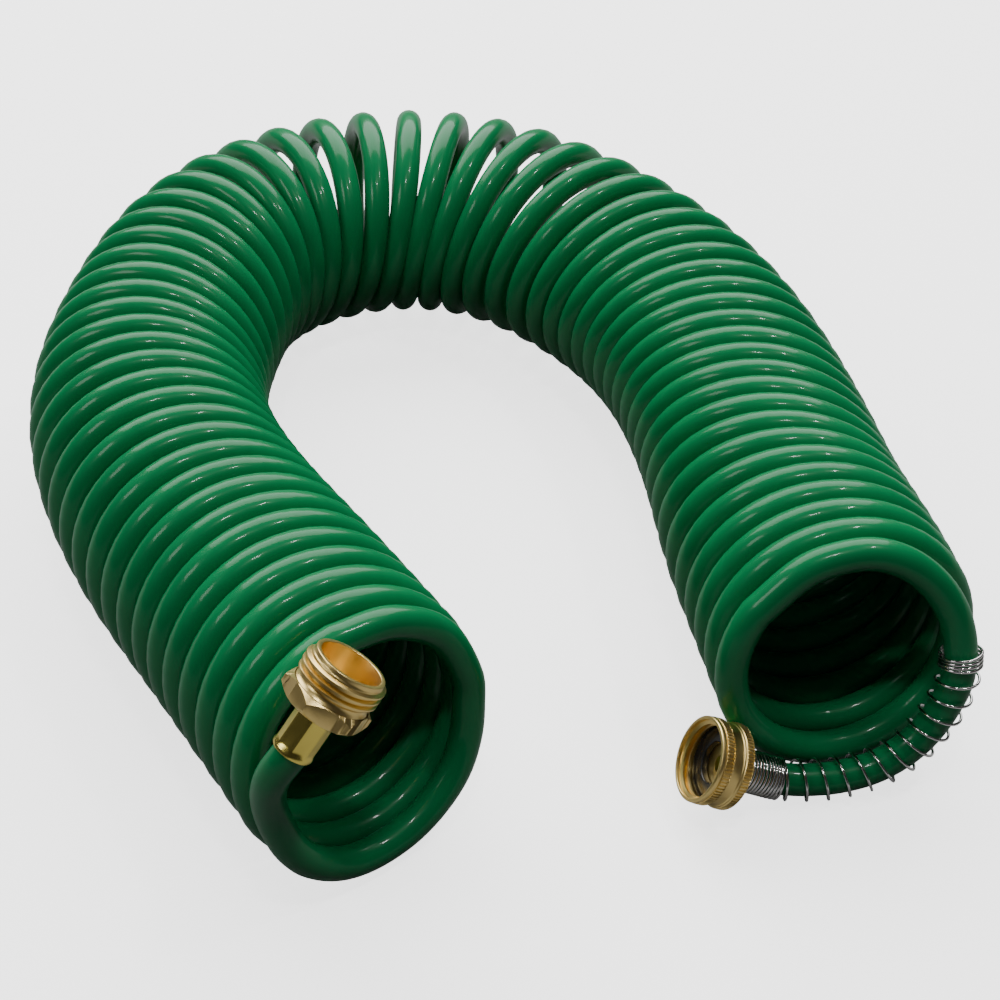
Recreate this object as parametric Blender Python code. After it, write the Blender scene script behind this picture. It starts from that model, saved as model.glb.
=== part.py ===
"""Coiled garden hose: a green tube wound as a long helix that lies bent into a horseshoe,
with a brass threaded coupling on one end and a swivel coupling with a spring on the other.

Metres, +Z up. The floor is Z = 0, and the origin is on it under the middle of the hose."""
import math

import bmesh
import bpy
import numpy as np
from mathutils import Matrix, Vector

# Hose and coil
HOSE_DIAMETER = 0.0115
COIL_DIAMETER = 0.096
COIL_TURNS = 58.0
COIL_SIDES = 20
GROOVE_DEPTH = 0.0030
FACE_GAP = 0.0003
TUBE_POINT_STEP = 0.0090
TUBE_BEVEL_RESOLUTION = 3

# The coil's middle line on the floor plan, at every third turn
COIL_ROUTE = (
    (-0.0308, -0.1772), (-0.0506, -0.1463), (-0.0705, -0.1156), (-0.0911, -0.0844),
    (-0.1106, -0.0497), (-0.1254, -0.0117), (-0.1308, 0.0270), (-0.1280, 0.0695),
    (-0.1169, 0.1155), (-0.0867, 0.1545), (-0.0371, 0.1741), (0.0147, 0.1626),
    (0.0572, 0.1261), (0.0851, 0.0845), (0.1013, 0.0439), (0.1106, 0.0050),
    (0.1164, -0.0325), (0.1209, -0.0693), (0.1274, -0.1047), (0.1336, -0.1399),
)
TURNS_PER_ROUTE_POINT = 3.0
# How the planes of the turns are turned from square to the middle line, in degrees,
# about the vertical and away from the vertical, evenly spaced along the coil
TURN_LEAN = (4.0, -3.0, -4.0, -6.0, 2.0, -9.0, -12.0, 4.0)
TURN_TILT = (-8.0, -5.0, -4.0, -7.0, -12.0, -12.0, -7.0, 9.0)
# Turn number at which the middle line's first point sits, counted from the male end
ROUTE_START_TURN = 0.75
# Where round the section the wound tube starts, from the top towards the right of travel
START_PHASE = math.radians(270.0)
# Turns that are part of the loose ends, not of the coil's solid
MALE_FREE_TURNS = 1.30
FEMALE_FREE_TURNS = 0.93

# The two loose ends beyond their last regular turn, chosen along the real lie of the tube
MALE_END_ROUTE = (
    (0.0016, -0.1553, 0.0560), (0.0025, -0.1575, 0.0440), (0.0014, -0.1610, 0.0321),
    (-0.0024, -0.1667, 0.0215), (-0.0092, -0.1739, 0.0138), (-0.0178, -0.1818, 0.0089),
    (-0.0274, -0.1898, 0.0075), (-0.0362, -0.1966, 0.0092), (-0.0437, -0.2018, 0.0140),
    (-0.0498, -0.2057, 0.0211), (-0.0542, -0.2078, 0.0296), (-0.0571, -0.2091, 0.0395),
    (-0.0586, -0.2105, 0.0500), (-0.0582, -0.2128, 0.0605), (-0.0553, -0.2148, 0.0705),
)
MALE_HELIX_END_TURN = 0.58
FEMALE_HELIX_END_TURN = 57.72
FEMALE_END_ROUTE = (
    (0.1268, -0.1352, 0.0893), (0.1386, -0.1340, 0.0896), (0.1498, -0.1342, 0.0854),
    (0.1594, -0.1355, 0.0775), (0.1660, -0.1380, 0.0681), (0.1693, -0.1410, 0.0585),
    (0.1702, -0.1440, 0.0492), (0.1688, -0.1467, 0.0396), (0.1630, -0.1496, 0.0265),
    (0.1554, -0.1524, 0.0175), (0.1443, -0.1556, 0.0112), (0.1318, -0.1582, 0.0088),
    (0.1206, -0.1594, 0.0085), (0.1116, -0.1598, 0.0093),
)
STRAIGHT_BEHIND_NUT = (0.0150, 0.0075)

# Male coupling, measured along its axis from the open end of its ferrule
MALE_ORIGIN = (-0.0495, -0.2139, 0.0794)
MALE_AXIS = (0.553, 0.308, 0.775)
FERRULE_LENGTH = 0.0165
FERRULE_WALL = 0.0007
FERRULE_FLARE = 0.0005
HOSE_TO_FERRULE = 0.0003
HOSE_IN_FERRULE = 0.0140
HEX_ACROSS_FLATS = 0.0260
HEX_LENGTH = 0.0060
NECK_RADIUS = 0.0113
NECK_LENGTH = 0.0025
THREAD_RADIUS = 0.01345
THREAD_DEPTH = 0.0012
THREAD_PITCH = 0.00221
MALE_THREAD_TURNS = 3
MALE_RIM_LENGTH = 0.0020
MALE_RIM_RADIUS = 0.0119
MALE_BORE_RADIUS = 0.0104
MALE_BORE_DEPTH = 0.0105
WATERWAY_RADIUS = 0.0032

# Swivel coupling, measured along its axis from the back face of its nut
NUT_ORIGIN = (0.0923, -0.1623, 0.0182)
NUT_AXIS = (-0.883, -0.138, 0.448)
NUT_RADIUS = 0.01525
NUT_LENGTH = 0.0130
NUT_BACK_WALL = 0.0022
NUT_BACK_BAND = 0.0034
NUT_FRONT_BAND = 0.0042
NUT_GROOVE_DEPTH = 0.0009
NUT_LIP_LENGTH = 0.0006
NUT_LIP_RADIUS = 0.0150
NUT_THREAD_TURNS = 2
NUT_THREAD_CLEARANCE = 0.0003
STEM_RADIUS = 0.0065
STEM_CLEARANCE = 0.0003
STEM_BEHIND_NUT = 0.0012
FLANGE_THICKNESS = 0.0016
FLANGE_CLEARANCE = 0.0004
WASHER_THICKNESS = 0.0026
WASHER_INNER_RADIUS = 0.0072

# Strain-relief spring round the hose behind the swivel coupling
SPRING_WIRE = 0.0011
SPRING_CLEARANCE = 0.0009
SPRING_CLOSE_PITCH = 0.00135
SPRING_CLOSE_TURNS_NUT = 13
SPRING_OPEN_TURNS = 12
SPRING_CLOSE_TURNS_END = 4
SPRING_LENGTH = 0.1080
SPRING_STEPS_PER_TURN = 10
SPRING_WIRE_SIDES = 4

ROUND_SIDES = 36


def coil_radius():
    return COIL_DIAMETER / 2


def spline(points, values):
    """Natural cubic spline through evenly spaced points, read at the given values."""
    pts = np.asarray(points, float)
    if pts.ndim == 1:
        pts = pts[:, None]
    count = len(pts)
    system = np.eye(count)
    right = np.zeros_like(pts)
    for i in range(1, count - 1):
        system[i, i - 1:i + 2] = (1.0, 4.0, 1.0)
        right[i] = 6.0 * (pts[i - 1] - 2.0 * pts[i] + pts[i + 1])
    bend = np.linalg.solve(system, right)
    at = np.atleast_1d(np.asarray(values, float))
    i = np.clip(np.floor(at).astype(int), 0, count - 2)
    b = (at - i)[:, None]
    a = 1.0 - b
    return (a * pts[i] + b * pts[i + 1]
            + ((a ** 3 - a) * bend[i] + (b ** 3 - b) * bend[i + 1]) / 6.0)


def coil_section(turn):
    """Centre, right-of-travel and up vectors, and travel normal of the turn plane."""
    along = (turn - ROUTE_START_TURN) / TURNS_PER_ROUTE_POINT
    step = 0.01
    before, centre, after = spline(COIL_ROUTE, (along - step, along, along + step))
    heading = math.atan2(after[1] - before[1], after[0] - before[0])
    last = len(COIL_ROUTE) - 1
    shape_at = min(max(along / last, 0.0), 1.0) * (len(TURN_LEAN) - 1)
    lean = math.radians(spline(TURN_LEAN, shape_at)[0, 0])
    tilt = math.radians(spline(TURN_TILT, shape_at)[0, 0])
    facing = heading + lean
    normal = Vector((math.cos(facing) * math.cos(tilt), math.sin(facing) * math.cos(tilt),
                     math.sin(tilt)))
    side = Vector((math.sin(facing), -math.cos(facing), 0.0))
    up = side.cross(normal)
    # A tilted ring stands lower, and its lowest point stays on the floor
    middle = Vector((centre[0], centre[1], coil_radius() * up.z))
    return middle, side, up, normal


def helix_point(turn):
    """Centre of the tube where it is wound, for a turn count from the male end."""
    middle, side, up, _ = coil_section(turn)
    phase = START_PHASE - 2.0 * math.pi * turn
    radius = coil_radius() - HOSE_DIAMETER / 2
    return middle + (up * math.cos(phase) + side * math.sin(phase)) * radius


def smooth_path(points, spacing):
    """Points at an even spacing along a smooth curve through the given ones."""
    knots = [Vector(p) for p in points]
    fine = []
    for i in range(len(knots) - 1):
        p0 = knots[i - 1] if i > 0 else knots[i] * 2 - knots[i + 1]
        p1, p2 = knots[i], knots[i + 1]
        p3 = knots[i + 2] if i + 2 < len(knots) else knots[i + 1] * 2 - knots[i]
        for step in range(16):
            t = step / 16
            fine.append(0.5 * (2 * p1 + (p2 - p0) * t + (2 * p0 - 5 * p1 + 4 * p2 - p3) * t * t
                               + (3 * p1 - p0 - 3 * p2 + p3) * t ** 3))
    fine.append(knots[-1])
    lengths = [0.0]
    for a, b in zip(fine, fine[1:]):
        lengths.append(lengths[-1] + (b - a).length)
    count = max(2, round(lengths[-1] / spacing))
    even = []
    at = 0
    for n in range(count + 1):
        want = lengths[-1] * n / count
        while at < len(fine) - 2 and lengths[at + 1] < want:
            at += 1
        share = (want - lengths[at]) / (lengths[at + 1] - lengths[at])
        even.append(fine[at].lerp(fine[at + 1], share))
    return even


def axis_frame(origin, axis):
    """Matrix that puts local +Z on the axis, with local X level."""
    z = Vector(axis).normalized()
    x = Vector((-z.y, z.x, 0.0)).normalized()
    y = z.cross(x)
    turn = Matrix((x, y, z)).transposed().to_4x4()
    return Matrix.Translation(Vector(origin)) @ turn


def material(name, color, roughness, metallic=0.0):
    made = bpy.data.materials.new(name)
    made.use_nodes = True
    shader = made.node_tree.nodes["Principled BSDF"]
    shader.inputs["Base Color"].default_value = (*color, 1.0)
    shader.inputs["Roughness"].default_value = roughness
    shader.inputs["Metallic"].default_value = metallic
    return made


def add_object(name, mesh, finish, matrix=None):
    mesh.materials.append(finish)
    made = bpy.data.objects.new(name, mesh)
    bpy.context.scene.collection.objects.link(made)
    if matrix is not None:
        made.matrix_world = matrix
    return made


def closed_mesh(name, loops, ring_closed=True, row_closed=False):
    """Mesh from rows of points. Rows join into a band, and open ends get a cap."""
    bm = bmesh.new()
    rows = [[bm.verts.new(p) for p in loop] for loop in loops]
    pairs = list(zip(rows, rows[1:]))
    if row_closed:
        pairs.append((rows[-1], rows[0]))
    for low, high in pairs:
        count = len(low)
        for i in range(count if ring_closed else count - 1):
            j = (i + 1) % count
            bm.faces.new((low[i], low[j], high[j], high[i]))
    if not row_closed:
        bm.faces.new(rows[0])
        bm.faces.new(rows[-1])
    bmesh.ops.recalc_face_normals(bm, faces=bm.faces)
    mesh = bpy.data.meshes.new(name)
    bm.to_mesh(mesh)
    bm.free()
    mesh.shade_smooth()
    mesh.set_sharp_from_angle(angle=math.radians(35))
    return mesh


def turned_piece(name, profile, finish, matrix, sides=ROUND_SIDES):
    """Closed profile of (radius, height) turned about local Z. A radius may be a function."""
    loops = []
    for n in range(sides):
        angle = 2 * math.pi * n / sides
        loop = []
        for radius, height in profile:
            r = radius(angle) if callable(radius) else radius
            loop.append((r * math.cos(angle), r * math.sin(angle), height))
        loops.append(loop)
    return add_object(name, closed_mesh(name, loops, row_closed=True), finish, matrix)


def hex_radius(angle):
    """Distance from the axis to the hexagon's wall."""
    sector = math.radians(60)
    return HEX_ACROSS_FLATS / 2 / math.cos((angle % sector) - sector / 2)


def thread_crests(radius_root, radius_crest, start, pitch, count):
    """Zigzag of (radius, height) points for thread crests, upwards from start."""
    points = []
    for n in range(count):
        points.append((radius_root, start + n * pitch))
        points.append((radius_crest, start + (n + 0.35) * pitch))
        points.append((radius_crest, start + (n + 0.65) * pitch))
    points.append((radius_root, start + count * pitch))
    return points


def build_hose_coil(finish):
    """The wound hose as one hollow body, ribbed outside where its turns lie side by side."""
    outer = []
    inner = []
    first = MALE_FREE_TURNS
    last = COIL_TURNS - FEMALE_FREE_TURNS
    count = 2 * round(last - first)
    bore_radius = coil_radius() - HOSE_DIAMETER
    for n in range(count + 1):
        middle, side, up, _ = coil_section(first + (last - first) * n / count)
        groove = n % 2 == 0
        radius = coil_radius() - (GROOVE_DEPTH if groove else 0.0)
        ring = [up * math.cos(2 * math.pi * s / COIL_SIDES)
                + side * math.sin(2 * math.pi * s / COIL_SIDES) for s in range(COIL_SIDES)]
        outer.append([middle + p * radius for p in ring])
        if n % 4 == 0 or n == count:
            inner.append([middle + p * bore_radius for p in ring])
    loops = outer + inner[::-1]
    return add_object("hose_coil", closed_mesh("hose_coil", loops, row_closed=True), finish)


def build_tube(name, points, finish):
    """Plain solid tube along the points, with filled ends."""
    curve = bpy.data.curves.new(name, "CURVE")
    curve.dimensions = "3D"
    curve.bevel_depth = HOSE_DIAMETER / 2
    curve.bevel_resolution = TUBE_BEVEL_RESOLUTION
    curve.use_fill_caps = True
    line = curve.splines.new("POLY")
    line.points.add(len(points) - 1)
    for slot, place in zip(line.points, points):
        slot.co = (*place, 1.0)
    curve.materials.append(finish)
    made = bpy.data.objects.new(name, curve)
    bpy.context.scene.collection.objects.link(made)
    return made


def male_tube_path():
    frame = axis_frame(MALE_ORIGIN, MALE_AXIS)
    free_start = MALE_FREE_TURNS - (HOSE_DIAMETER / 2 + FACE_GAP) / HOSE_DIAMETER
    wound = []
    turn = free_start
    while turn > MALE_HELIX_END_TURN:
        wound.append(helix_point(turn))
        turn -= 0.08
    entry = [frame @ Vector((0, 0, 0)), frame @ Vector((0, 0, HOSE_IN_FERRULE))]
    return smooth_path(wound + list(MALE_END_ROUTE) + entry, TUBE_POINT_STEP)


def female_tube_path():
    frame = axis_frame(NUT_ORIGIN, NUT_AXIS)
    free_start = COIL_TURNS - FEMALE_FREE_TURNS + (HOSE_DIAMETER / 2 + FACE_GAP) / HOSE_DIAMETER
    wound = []
    turn = free_start
    while turn < FEMALE_HELIX_END_TURN:
        wound.append(helix_point(turn))
        turn += 0.08
    back = -STEM_BEHIND_NUT - FACE_GAP
    entry = [frame @ Vector((0, 0, back - length)) for length in STRAIGHT_BEHIND_NUT]
    entry.append(frame @ Vector((0, 0, back)))
    return smooth_path(wound + list(FEMALE_END_ROUTE) + entry, TUBE_POINT_STEP)


def build_ferrule(finish):
    """Brass sleeve crimped on the hose, flared at both ends."""
    bore = HOSE_DIAMETER / 2 + HOSE_TO_FERRULE
    outer = bore + FERRULE_WALL
    flare = outer + FERRULE_FLARE
    lip = FERRULE_LENGTH * 0.12
    profile = ((bore, 0.0), (flare, 0.0), (flare, lip * 0.6), (outer, lip * 1.6),
               (outer, FERRULE_LENGTH - lip * 1.6), (flare, FERRULE_LENGTH - lip * 0.6),
               (flare, FERRULE_LENGTH), (bore, FERRULE_LENGTH))
    return turned_piece("male_ferrule", profile, finish, axis_frame(MALE_ORIGIN, MALE_AXIS), 24)


def male_heights():
    """Heights along the male coupling: back of the hexagon, thread start and mouth."""
    back = FERRULE_LENGTH + FACE_GAP
    thread = back + HEX_LENGTH + NECK_LENGTH
    mouth = thread + MALE_THREAD_TURNS * THREAD_PITCH + MALE_RIM_LENGTH
    return back, thread, mouth


def build_male_fitting(finish):
    """Brass coupling with a hexagon, a neck, a male thread and an open bore."""
    back, thread, mouth = male_heights()
    stem_back = HOSE_IN_FERRULE + FACE_GAP
    stem_radius = HOSE_DIAMETER / 2 - HOSE_TO_FERRULE
    root = THREAD_RADIUS - THREAD_DEPTH
    profile = [(WATERWAY_RADIUS, stem_back), (stem_radius, stem_back), (stem_radius, back),
               (hex_radius, back), (hex_radius, back + HEX_LENGTH),
               (NECK_RADIUS, back + HEX_LENGTH), (NECK_RADIUS, thread - THREAD_DEPTH / 2)]
    profile += thread_crests(root, THREAD_RADIUS, thread, THREAD_PITCH, MALE_THREAD_TURNS)
    profile += [(MALE_RIM_RADIUS, mouth - MALE_RIM_LENGTH * 0.6), (MALE_RIM_RADIUS, mouth),
                (MALE_BORE_RADIUS, mouth), (MALE_BORE_RADIUS, mouth - MALE_BORE_DEPTH),
                (WATERWAY_RADIUS, mouth - MALE_BORE_DEPTH)]
    return turned_piece("male_fitting", profile, finish, axis_frame(MALE_ORIGIN, MALE_AXIS))


def flange_height():
    return NUT_BACK_WALL + FLANGE_CLEARANCE


def washer_height():
    return flange_height() + FLANGE_THICKNESS + FACE_GAP


def build_swivel_nut(finish):
    """Brass nut with two gripping bands, an internal thread and a hole for the stem."""
    thread_crest = THREAD_RADIUS - THREAD_DEPTH + NUT_THREAD_CLEARANCE
    thread_root = THREAD_RADIUS + NUT_THREAD_CLEARANCE
    groove = NUT_RADIUS - NUT_GROOVE_DEPTH
    front = NUT_LENGTH - NUT_LIP_LENGTH
    thread_top = front - FACE_GAP
    thread_low = thread_top - NUT_THREAD_TURNS * THREAD_PITCH
    crests = thread_crests(thread_root, thread_crest, thread_low, THREAD_PITCH, NUT_THREAD_TURNS)
    profile = [(STEM_RADIUS + STEM_CLEARANCE, 0.0), (NUT_RADIUS, 0.0),
               (NUT_RADIUS, NUT_BACK_BAND), (groove, NUT_BACK_BAND + NUT_GROOVE_DEPTH),
               (groove, front - NUT_FRONT_BAND - NUT_GROOVE_DEPTH),
               (NUT_RADIUS, front - NUT_FRONT_BAND), (NUT_RADIUS, front),
               (NUT_LIP_RADIUS, NUT_LENGTH), (thread_root, NUT_LENGTH)]
    profile += crests[::-1]
    profile += [(thread_root, NUT_BACK_WALL), (STEM_RADIUS + STEM_CLEARANCE, NUT_BACK_WALL)]
    return turned_piece("swivel_nut", profile, finish, axis_frame(NUT_ORIGIN, NUT_AXIS))


def build_swivel_stem(finish):
    """Brass stem from the hose through the nut's back wall, with the flange the nut turns on."""
    flange_radius = THREAD_RADIUS - NUT_THREAD_CLEARANCE
    low = flange_height()
    profile = ((WATERWAY_RADIUS, -STEM_BEHIND_NUT), (STEM_RADIUS, -STEM_BEHIND_NUT),
               (STEM_RADIUS, low), (flange_radius, low), (flange_radius, low + FLANGE_THICKNESS),
               (WATERWAY_RADIUS, low + FLANGE_THICKNESS))
    return turned_piece("swivel_stem", profile, finish, axis_frame(NUT_ORIGIN, NUT_AXIS), 24)


def build_washer(finish):
    """Flat rubber washer that lies on the flange inside the nut."""
    outer = THREAD_RADIUS - NUT_THREAD_CLEARANCE
    low = washer_height()
    profile = ((WASHER_INNER_RADIUS, low), (outer, low), (outer, low + WASHER_THICKNESS),
               (WASHER_INNER_RADIUS, low + WASHER_THICKNESS))
    return turned_piece("washer", profile, finish, axis_frame(NUT_ORIGIN, NUT_AXIS), 24)


def spring_radius():
    """Radius at the middle of the wire, so that the spring always clears the hose."""
    return HOSE_DIAMETER / 2 + SPRING_CLEARANCE + SPRING_WIRE / 2


def spring_distance(turn):
    """Distance of a spring turn from the nut, close wound at both ends."""
    nut_part = SPRING_CLOSE_TURNS_NUT * SPRING_CLOSE_PITCH
    end_part = SPRING_CLOSE_TURNS_END * SPRING_CLOSE_PITCH
    open_pitch = (SPRING_LENGTH - nut_part - end_part) / SPRING_OPEN_TURNS
    if turn <= SPRING_CLOSE_TURNS_NUT:
        return turn * SPRING_CLOSE_PITCH
    if turn <= SPRING_CLOSE_TURNS_NUT + SPRING_OPEN_TURNS:
        return nut_part + (turn - SPRING_CLOSE_TURNS_NUT) * open_pitch
    past = turn - SPRING_CLOSE_TURNS_NUT - SPRING_OPEN_TURNS
    return nut_part + SPRING_OPEN_TURNS * open_pitch + past * SPRING_CLOSE_PITCH


def build_spring(tube_points, finish):
    """Steel wire wound round the hose end."""
    path = smooth_path(tube_points[::-1], 0.0005)
    lengths = [0.0]
    for a, b in zip(path, path[1:]):
        lengths.append(lengths[-1] + (b - a).length)
    frames = [Vector((0.0, 0.0, 1.0))]
    for a, b in zip(path, path[1:]):
        along = (b - a).normalized()
        frames.append((frames[-1] - along * frames[-1].dot(along)).normalized())
    turns = SPRING_CLOSE_TURNS_NUT + SPRING_OPEN_TURNS + SPRING_CLOSE_TURNS_END
    start = SPRING_WIRE / 2 + FACE_GAP
    wire = []
    for n in range(turns * SPRING_STEPS_PER_TURN + 1):
        turn = n / SPRING_STEPS_PER_TURN
        want = start + spring_distance(turn)
        i = min(int(np.searchsorted(lengths, want)), len(path) - 2)
        along = (path[i + 1] - path[i]).normalized()
        across = (frames[i] - along * frames[i].dot(along)).normalized()
        third = along.cross(across)
        place = path[i] + along * (want - lengths[i])
        angle = 2 * math.pi * turn
        wire.append(place + (across * math.cos(angle) + third * math.sin(angle))
                    * spring_radius())
    loops = []
    for n, place in enumerate(wire):
        ahead = wire[min(n + 1, len(wire) - 1)]
        behind = wire[max(n - 1, 0)]
        along = (ahead - behind).normalized()
        middle = path[min(range(0, len(path), 4), key=lambda k: (path[k] - place).length)]
        outward = place - middle
        outward = (outward - along * outward.dot(along)).normalized()
        third = along.cross(outward)
        loops.append([place + (outward * math.cos(a) + third * math.sin(a)) * SPRING_WIRE / 2
                      for a in (2 * math.pi * s / SPRING_WIRE_SIDES
                                for s in range(SPRING_WIRE_SIDES))])
    name = "strain_relief_spring"
    return add_object(name, closed_mesh(name, loops), finish)


def main():
    for old in list(bpy.data.objects):
        bpy.data.objects.remove(old, do_unlink=True)
    green = material("hose_green", (0.004, 0.16, 0.06), 0.28)
    brass = material("brass", (0.78, 0.55, 0.22), 0.25, 1.0)
    pale_brass = material("ferrule_brass", (0.86, 0.70, 0.28), 0.25, 1.0)
    steel = material("spring_steel", (0.62, 0.61, 0.60), 0.25, 1.0)
    black = material("washer_rubber", (0.015, 0.015, 0.016), 0.6)
    build_hose_coil(green)
    build_tube("hose_end_male", male_tube_path(), green)
    female_path = female_tube_path()
    build_tube("hose_end_female", female_path, green)
    build_ferrule(pale_brass)
    build_male_fitting(brass)
    build_swivel_stem(brass)
    build_swivel_nut(brass)
    build_washer(black)
    build_spring(female_path, steel)


main()
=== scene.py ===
"""Coiled garden hose: the looks of the tube, its two brass couplings and the steel spring.

Metres, +Z up, floor at Z = 0. Run as a script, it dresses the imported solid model."""
import math

import bmesh
import bpy
import numpy as np
from bpy.props import FloatProperty, FloatVectorProperty, IntProperty, PointerProperty
from mathutils import Matrix, Vector


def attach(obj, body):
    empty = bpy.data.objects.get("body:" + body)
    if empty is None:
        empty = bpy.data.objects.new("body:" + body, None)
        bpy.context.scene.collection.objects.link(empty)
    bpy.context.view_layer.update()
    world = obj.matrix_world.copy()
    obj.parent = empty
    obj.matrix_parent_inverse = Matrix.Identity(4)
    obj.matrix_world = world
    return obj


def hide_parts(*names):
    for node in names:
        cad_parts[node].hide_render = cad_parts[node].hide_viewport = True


bl_info = {
    "name": "Coiled garden hose",
    "version": (1, 0, 0),
    "blender": (4, 5, 0),
    "location": "3D View > Sidebar > Garden hose",
    "description": "Green recoil hose with brass couplings and a steel spring",
    "category": "Object",
}

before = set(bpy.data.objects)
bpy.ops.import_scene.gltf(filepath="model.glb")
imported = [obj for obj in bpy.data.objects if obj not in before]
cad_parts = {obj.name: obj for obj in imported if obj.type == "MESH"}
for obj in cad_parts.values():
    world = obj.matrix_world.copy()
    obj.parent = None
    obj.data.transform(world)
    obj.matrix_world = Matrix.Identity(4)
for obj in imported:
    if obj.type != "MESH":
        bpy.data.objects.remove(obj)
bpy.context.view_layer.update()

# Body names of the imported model
HOSE_BODY = "hose"
NUT_BODY = "nut"

# The tube and the coil it is wound to, with the coil's middle line on the floor
HOSE_DIAMETER = 0.0115
COIL_RADIUS = 0.048
COIL_TURNS = 58.0
COIL_ROUTE = (
    (-0.0308, -0.1772), (-0.0506, -0.1463), (-0.0705, -0.1156), (-0.0911, -0.0844),
    (-0.1106, -0.0497), (-0.1254, -0.0117), (-0.1308, 0.0270), (-0.1280, 0.0695),
    (-0.1169, 0.1155), (-0.0867, 0.1545), (-0.0371, 0.1741), (0.0147, 0.1626),
    (0.0572, 0.1261), (0.0851, 0.0845), (0.1013, 0.0439), (0.1106, 0.0050),
    (0.1164, -0.0325), (0.1209, -0.0693), (0.1274, -0.1047), (0.1336, -0.1399),
)
TURNS_PER_ROUTE_POINT = 3.0
ROUTE_START_TURN = 0.75
ROUTE_HEADING_STEP = 0.01

# Degrees by which the turns lean about the upright and tilt, at even steps along the coil
TURN_LEAN = (4.0, -3.0, -4.0, -6.0, 2.0, -9.0, -12.0, 4.0)
TURN_TILT = (-8.0, -5.0, -4.0, -7.0, -12.0, -12.0, -7.0, 9.0)

# Where the helix starts, and the turns at its two ends that the coil's solid leaves free
START_PHASE = math.radians(270.0)
MALE_FREE_TURNS = 1.30
FEMALE_FREE_TURNS = 0.93
FACE_GAP = 0.0003
HALF_TUBE_TURNS = (HOSE_DIAMETER / 2 + FACE_GAP) / HOSE_DIAMETER
FIRST_WOUND_TURN = MALE_FREE_TURNS - HALF_TUBE_TURNS
LAST_WOUND_TURN = COIL_TURNS - FEMALE_FREE_TURNS + HALF_TUBE_TURNS

# The two loose ends of the tube
MALE_END_ROUTE = (
    (0.0016, -0.1553, 0.0560), (0.0025, -0.1575, 0.0440), (0.0014, -0.1610, 0.0321),
    (-0.0024, -0.1667, 0.0215), (-0.0092, -0.1739, 0.0138), (-0.0178, -0.1818, 0.0089),
    (-0.0274, -0.1898, 0.0075), (-0.0362, -0.1966, 0.0092), (-0.0437, -0.2018, 0.0140),
    (-0.0498, -0.2057, 0.0211), (-0.0542, -0.2078, 0.0296), (-0.0571, -0.2091, 0.0395),
    (-0.0586, -0.2105, 0.0500), (-0.0582, -0.2128, 0.0605), (-0.0553, -0.2148, 0.0705),
)
MALE_HELIX_END_TURN = 0.58
FEMALE_HELIX_END_TURN = 57.72
FEMALE_END_ROUTE = (
    (0.1268, -0.1352, 0.0893), (0.1386, -0.1340, 0.0896), (0.1498, -0.1342, 0.0854),
    (0.1594, -0.1355, 0.0775), (0.1660, -0.1380, 0.0681), (0.1693, -0.1410, 0.0585),
    (0.1702, -0.1440, 0.0492), (0.1688, -0.1467, 0.0396), (0.1630, -0.1496, 0.0265),
    (0.1554, -0.1524, 0.0175), (0.1443, -0.1556, 0.0112), (0.1318, -0.1582, 0.0088),
    (0.1206, -0.1594, 0.0085), (0.1116, -0.1598, 0.0093),
)
STRAIGHT_BEHIND_NUT = (0.0150, 0.0075)
STEM_BEHIND_NUT = 0.0012
HOSE_IN_FERRULE = 0.0140

# How finely the tube and the spring's wire are drawn
TUBE_STEPS_PER_TURN = 48
TUBE_STEP_AT_ENDS = 0.0030
TUBE_BEVEL_RESOLUTION = 8
FREE_TURN_STEP = 0.08
CURVE_STEPS = 16
WIRE_STEPS_PER_TURN = 28
WIRE_ROUTE_STEP = 0.009
WIRE_FINE_STEP = 0.0005
WIRE_BEVEL_RESOLUTION = 2
WIRE_SMOOTH_ANGLE = 60.0
COUPLING_STEPS = 96
COUPLING_SMOOTH_ANGLE = 32.0
WASHER_STEPS = 72
ROUND_STEPS = 3
SEED_SIZE = 0.001

# Rounds at the corners of the turned pieces
SHARP = 0.0
TINY_ROUND = 0.0001
FINE_ROUND = 0.0002
SMALL_ROUND = 0.0003
RIM_ROUND = 0.00035
COLLAR_ROUND = 0.0004
EDGE_ROUND = 0.0005
WASHER_ROUND = 0.0006
LIP_ROUND = 0.0008
NECK_ROUND = 0.0009

# Distances under which vertices are merged, in a spun shell and in a thread's ridge
SPUN_MERGE = 1e-6
RIDGE_MERGE = 1e-7

# Back ends and directions of the two couplings, whose heights are measured from there
MALE_ORIGIN = (-0.0495, -0.2139, 0.0794)
MALE_AXIS = (0.553, 0.308, 0.775)
NUT_ORIGIN = (0.0923, -0.1623, 0.0182)
NUT_AXIS = (-0.883, -0.138, 0.448)

# Ferrule pressed on the tube, with a flare below and a collar above its flats
FERRULE_LENGTH = 0.0165
FERRULE_BORE = 0.00605
FERRULE_RADIUS = 0.0065
FERRULE_FLARE = 0.0004
FERRULE_FLARE_LENGTH = 0.0022
FERRULE_COLLAR_LENGTH = 0.0016
FERRULE_PRESS_FADE = 0.0008
FERRULE_PRESS_ON_FLARES = 0.35
FERRULE_FLAT_SHARE = 0.95
FERRULE_RIM_SHARE = 0.55
FERRULE_COLLAR_SLOPE = 0.0007
FERRULE_RING = 0.0010
FERRULE_WALL = 0.0003
FERRULE_STEPS_PER_FLUTE = 12

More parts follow.
